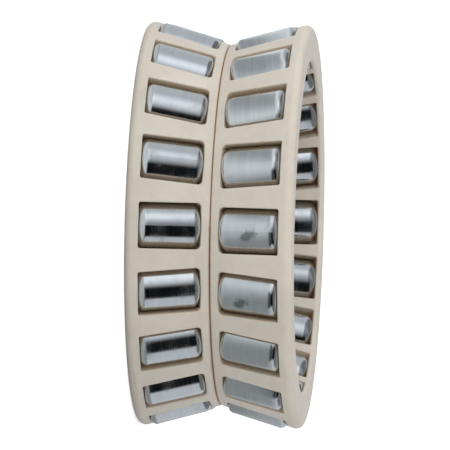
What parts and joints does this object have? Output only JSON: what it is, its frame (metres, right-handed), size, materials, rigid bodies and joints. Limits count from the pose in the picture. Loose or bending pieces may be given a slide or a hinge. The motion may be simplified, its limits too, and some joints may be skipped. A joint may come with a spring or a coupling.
{
  "type": "needle roller bearing",
  "caption": "Double-row roller and cage set: two conical polymer cages stand small end to small end and hold tilted rows of short steel rollers, without rings.",
  "frame": {"origin": "centre of the set, on the bearing axis and on the seam between the two cages", "axes": "+Z along the bearing axis, towards the upper cage's large end; the set stands on the lower cage's large end; a lower-row pocket faces -Y"},
  "size_m": [0.053, 0.0532, 0.0216],
  "materials": {
    "cage_polymer": "natural moulded polyamide, fine matt grain",
    "roller_steel": "ground and polished bearing steel"
  },
  "bodies": {
    "lower_cage": {"lower_cage": "cage_polymer"},
    "upper_cage": {"upper_cage": "cage_polymer"},
    "lower_roller_01": {"lower_roller_01": "roller_steel"},
    "lower_roller_02": {"lower_roller_02": "roller_steel"},
    "lower_roller_03": {"lower_roller_03": "roller_steel"},
    "lower_roller_04": {"lower_roller_04": "roller_steel"},
    "lower_roller_05": {"lower_roller_05": "roller_steel"},
    "lower_roller_06": {"lower_roller_06": "roller_steel"},
    "lower_roller_07": {"lower_roller_07": "roller_steel"},
    "lower_roller_08": {"lower_roller_08": "roller_steel"},
    "lower_roller_09": {"lower_roller_09": "roller_steel"},
    "lower_roller_10": {"lower_roller_10": "roller_steel"},
    "lower_roller_11": {"lower_roller_11": "roller_steel"},
    "lower_roller_12": {"lower_roller_12": "roller_steel"},
    "lower_roller_13": {"lower_roller_13": "roller_steel"},
    "lower_roller_14": {"lower_roller_14": "roller_steel"},
    "lower_roller_15": {"lower_roller_15": "roller_steel"},
    "lower_roller_16": {"lower_roller_16": "roller_steel"},
    "lower_roller_17": {"lower_roller_17": "roller_steel"},
    "lower_roller_18": {"lower_roller_18": "roller_steel"},
    "upper_roller_01": {"upper_roller_01": "roller_steel"},
    "upper_roller_02": {"upper_roller_02": "roller_steel"},
    "upper_roller_03": {"upper_roller_03": "roller_steel"},
    "upper_roller_04": {"upper_roller_04": "roller_steel"},
    "upper_roller_05": {"upper_roller_05": "roller_steel"},
    "upper_roller_06": {"upper_roller_06": "roller_steel"},
    "upper_roller_07": {"upper_roller_07": "roller_steel"},
    "upper_roller_08": {"upper_roller_08": "roller_steel"},
    "upper_roller_09": {"upper_roller_09": "roller_steel"},
    "upper_roller_10": {"upper_roller_10": "roller_steel"},
    "upper_roller_11": {"upper_roller_11": "roller_steel"},
    "upper_roller_12": {"upper_roller_12": "roller_steel"},
    "upper_roller_13": {"upper_roller_13": "roller_steel"},
    "upper_roller_14": {"upper_roller_14": "roller_steel"},
    "upper_roller_15": {"upper_roller_15": "roller_steel"},
    "upper_roller_16": {"upper_roller_16": "roller_steel"},
    "upper_roller_17": {"upper_roller_17": "roller_steel"},
    "upper_roller_18": {"upper_roller_18": "roller_steel"}
  },
  "joints": [
    {"name": "upper_cage_turn", "type": "hinge", "parent": "lower_cage", "child": "upper_cage", "pos_m": [0, 0, 0], "axis": [0, 0, 1], "continuous": true},
    {"name": "lower_roller_01_spin", "type": "hinge", "parent": "lower_cage", "child": "lower_roller_01", "pos_m": [0.02243, 0.00396, -0.00566], "axis": [0.2714, 0.0479, -0.9613], "continuous": true},
    {"name": "lower_roller_02_spin", "type": "hinge", "parent": "lower_cage", "child": "lower_roller_02", "pos_m": [0.01973, 0.01139, -0.00566], "axis": [0.2387, 0.1378, -0.9613], "continuous": true},
    {"name": "lower_roller_03_spin", "type": "hinge", "parent": "lower_cage", "child": "lower_roller_03", "pos_m": [0.01464, 0.01745, -0.00566], "axis": [0.1772, 0.2112, -0.9613], "continuous": true},
    {"name": "lower_roller_04_spin", "type": "hinge", "parent": "lower_cage", "child": "lower_roller_04", "pos_m": [0.00779, 0.0214, -0.00566], "axis": [0.0943, 0.259, -0.9613], "continuous": true},
    {"name": "lower_roller_05_spin", "type": "hinge", "parent": "lower_cage", "child": "lower_roller_05", "pos_m": [0, 0.02278, -0.00566], "axis": [0, 0.2756, -0.9613], "continuous": true},
    {"name": "lower_roller_06_spin", "type": "hinge", "parent": "lower_cage", "child": "lower_roller_06", "pos_m": [-0.00779, 0.0214, -0.00566], "axis": [-0.0943, 0.259, -0.9613], "continuous": true},
    {"name": "lower_roller_07_spin", "type": "hinge", "parent": "lower_cage", "child": "lower_roller_07", "pos_m": [-0.01464, 0.01745, -0.00566], "axis": [-0.1772, 0.2112, -0.9613], "continuous": true},
    {"name": "lower_roller_08_spin", "type": "hinge", "parent": "lower_cage", "child": "lower_roller_08", "pos_m": [-0.01973, 0.01139, -0.00566], "axis": [-0.2387, 0.1378, -0.9613], "continuous": true},
    {"name": "lower_roller_09_spin", "type": "hinge", "parent": "lower_cage", "child": "lower_roller_09", "pos_m": [-0.02243, 0.00396, -0.00566], "axis": [-0.2714, 0.0479, -0.9613], "continuous": true},
    {"name": "lower_roller_10_spin", "type": "hinge", "parent": "lower_cage", "child": "lower_roller_10", "pos_m": [-0.02243, -0.00396, -0.00566], "axis": [-0.2714, -0.0479, -0.9613], "continuous": true},
    {"name": "lower_roller_11_spin", "type": "hinge", "parent": "lower_cage", "child": "lower_roller_11", "pos_m": [-0.01973, -0.01139, -0.00566], "axis": [-0.2387, -0.1378, -0.9613], "continuous": true},
    {"name": "lower_roller_12_spin", "type": "hinge", "parent": "lower_cage", "child": "lower_roller_12", "pos_m": [-0.01464, -0.01745, -0.00566], "axis": [-0.1772, -0.2112, -0.9613], "continuous": true},
    {"name": "lower_roller_13_spin", "type": "hinge", "parent": "lower_cage", "child": "lower_roller_13", "pos_m": [-0.00779, -0.0214, -0.00566], "axis": [-0.0943, -0.259, -0.9613], "continuous": true},
    {"name": "lower_roller_14_spin", "type": "hinge", "parent": "lower_cage", "child": "lower_roller_14", "pos_m": [0, -0.02278, -0.00566], "axis": [0, -0.2756, -0.9613], "continuous": true},
    {"name": "lower_roller_15_spin", "type": "hinge", "parent": "lower_cage", "child": "lower_roller_15", "pos_m": [0.00779, -0.0214, -0.00566], "axis": [0.0943, -0.259, -0.9613], "continuous": true},
    {"name": "lower_roller_16_spin", "type": "hinge", "parent": "lower_cage", "child": "lower_roller_16", "pos_m": [0.01464, -0.01745, -0.00566], "axis": [0.1772, -0.2112, -0.9613], "continuous": true},
    {"name": "lower_roller_17_spin", "type": "hinge", "parent": "lower_cage", "child": "lower_roller_17", "pos_m": [0.01973, -0.01139, -0.00566], "axis": [0.2387, -0.1378, -0.9613], "continuous": true},
    {"name": "lower_roller_18_spin", "type": "hinge", "parent": "lower_cage", "child": "lower_roller_18", "pos_m": [0.02243, -0.00396, -0.00566], "axis": [0.2714, -0.0479, -0.9613], "continuous": true},
    {"name": "upper_roller_01_spin", "type": "hinge", "parent": "upper_cage", "child": "upper_roller_01", "pos_m": [0.02235, 0.00439, 0.00566], "axis": [0.2705, 0.0531, 0.9613], "continuous": true},
    {"name": "upper_roller_02_spin", "type": "hinge", "parent": "upper_cage", "child": "upper_roller_02", "pos_m": [0.0195, 0.01176, 0.00566], "axis": [0.236, 0.1424, 0.9613], "continuous": true},
    {"name": "upper_roller_03_spin", "type": "hinge", "parent": "upper_cage", "child": "upper_roller_03", "pos_m": [0.0143, 0.01773, 0.00566], "axis": [0.1731, 0.2145, 0.9613], "continuous": true},
    {"name": "upper_roller_04_spin", "type": "hinge", "parent": "upper_cage", "child": "upper_roller_04", "pos_m": [0.00738, 0.02155, 0.00566], "axis": [0.0893, 0.2608, 0.9613], "continuous": true},
    {"name": "upper_roller_05_spin", "type": "hinge", "parent": "upper_cage", "child": "upper_roller_05", "pos_m": [-0.00044, 0.02277, 0.00566], "axis": [-0.0053, 0.2756, 0.9613], "continuous": true},
    {"name": "upper_roller_06_spin", "type": "hinge", "parent": "upper_cage", "child": "upper_roller_06", "pos_m": [-0.0082, 0.02125, 0.00566], "axis": [-0.0992, 0.2572, 0.9613], "continuous": true},
    {"name": "upper_roller_07_spin", "type": "hinge", "parent": "upper_cage", "child": "upper_roller_07", "pos_m": [-0.01497, 0.01716, 0.00566], "axis": [-0.1812, 0.2077, 0.9613], "continuous": true},
    {"name": "upper_roller_08_spin", "type": "hinge", "parent": "upper_cage", "child": "upper_roller_08", "pos_m": [-0.01994, 0.01101, 0.00566], "axis": [-0.2413, 0.1332, 0.9613], "continuous": true},
    {"name": "upper_roller_09_spin", "type": "hinge", "parent": "upper_cage", "child": "upper_roller_09", "pos_m": [-0.0225, 0.00352, 0.00566], "axis": [-0.2723, 0.0426, 0.9613], "continuous": true},
    {"name": "upper_roller_10_spin", "type": "hinge", "parent": "upper_cage", "child": "upper_roller_10", "pos_m": [-0.02235, -0.00439, 0.00566], "axis": [-0.2705, -0.0531, 0.9613], "continuous": true},
    {"name": "upper_roller_11_spin", "type": "hinge", "parent": "upper_cage", "child": "upper_roller_11", "pos_m": [-0.0195, -0.01176, 0.00566], "axis": [-0.236, -0.1424, 0.9613], "continuous": true},
    {"name": "upper_roller_12_spin", "type": "hinge", "parent": "upper_cage", "child": "upper_roller_12", "pos_m": [-0.0143, -0.01773, 0.00566], "axis": [-0.1731, -0.2145, 0.9613], "continuous": true},
    {"name": "upper_roller_13_spin", "type": "hinge", "parent": "upper_cage", "child": "upper_roller_13", "pos_m": [-0.00738, -0.02155, 0.00566], "axis": [-0.0893, -0.2608, 0.9613], "continuous": true},
    {"name": "upper_roller_14_spin", "type": "hinge", "parent": "upper_cage", "child": "upper_roller_14", "pos_m": [0.00044, -0.02277, 0.00566], "axis": [0.0053, -0.2756, 0.9613], "continuous": true},
    {"name": "upper_roller_15_spin", "type": "hinge", "parent": "upper_cage", "child": "upper_roller_15", "pos_m": [0.0082, -0.02125, 0.00566], "axis": [0.0992, -0.2572, 0.9613], "continuous": true},
    {"name": "upper_roller_16_spin", "type": "hinge", "parent": "upper_cage", "child": "upper_roller_16", "pos_m": [0.01497, -0.01716, 0.00566], "axis": [0.1812, -0.2077, 0.9613], "continuous": true},
    {"name": "upper_roller_17_spin", "type": "hinge", "parent": "upper_cage", "child": "upper_roller_17", "pos_m": [0.01994, -0.01101, 0.00566], "axis": [0.2413, -0.1332, 0.9613], "continuous": true},
    {"name": "upper_roller_18_spin", "type": "hinge", "parent": "upper_cage", "child": "upper_roller_18", "pos_m": [0.0225, -0.00352, 0.00566], "axis": [0.2723, -0.0426, 0.9613], "continuous": true}
  ]
}
